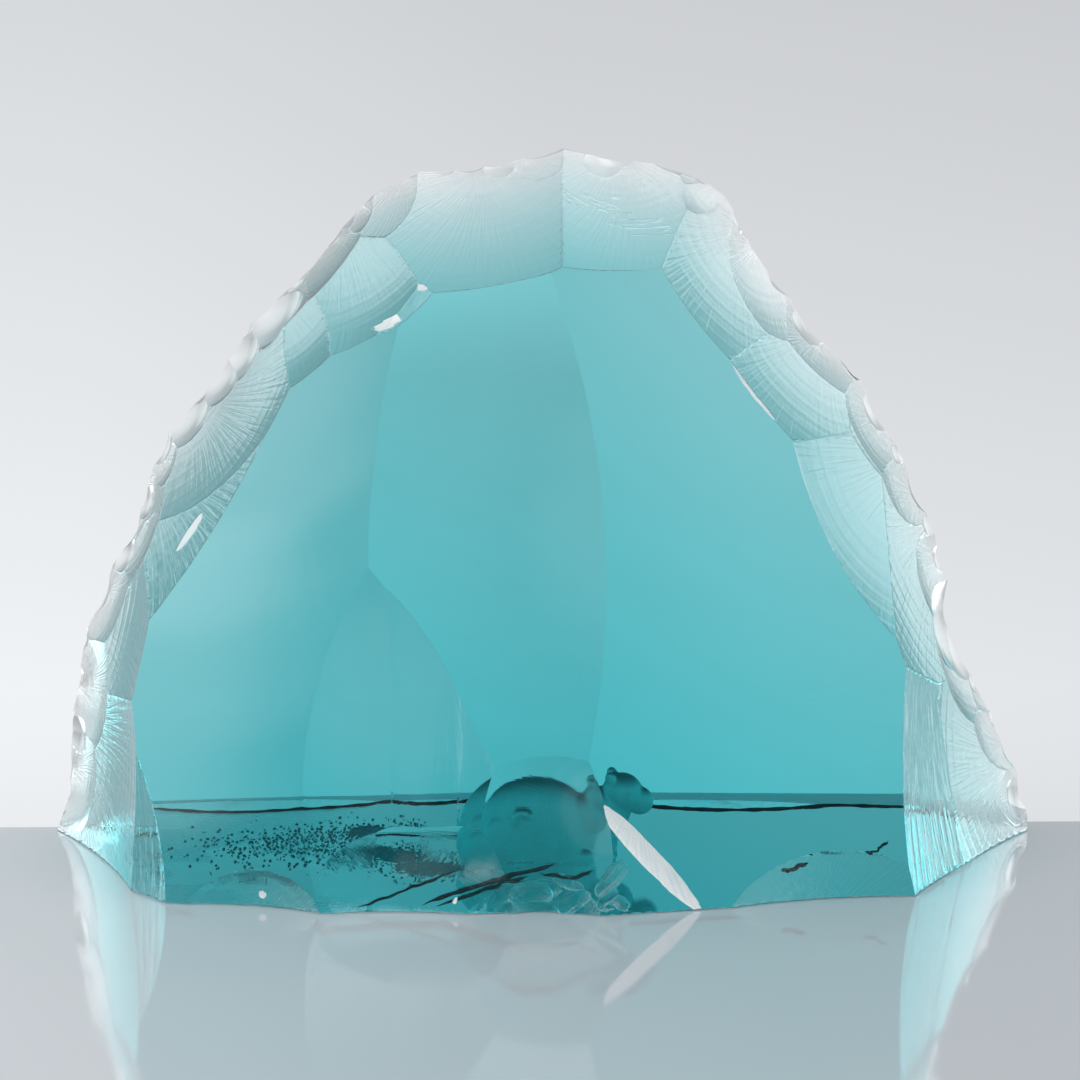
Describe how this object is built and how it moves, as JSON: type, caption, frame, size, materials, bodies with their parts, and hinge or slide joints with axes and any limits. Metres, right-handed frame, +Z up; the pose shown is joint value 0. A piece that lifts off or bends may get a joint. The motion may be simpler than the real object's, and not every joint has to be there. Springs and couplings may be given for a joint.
{
  "type": "glass iceberg ornament with polar bear",
  "caption": "Free-standing chipped block of thick aqua glass, shaped like an iceberg, with a small frosted polar bear set into its underside.",
  "frame": {"origin": "middle of the bounding box at the flat underside", "axes": "+X to the right along the width, +Y from the leaning front to the flat upright back, +Z up"},
  "size_m": [0.26, 0.104, 0.183],
  "materials": {
    "aqua_glass": "clear aqua glass with fractured and polished faces",
    "frosted_glass": "frosted, matt"
  },
  "bodies": {
    "root": {"iceberg_block": "aqua_glass", "polar_bear": "frosted_glass"}
  },
  "joints": []
}
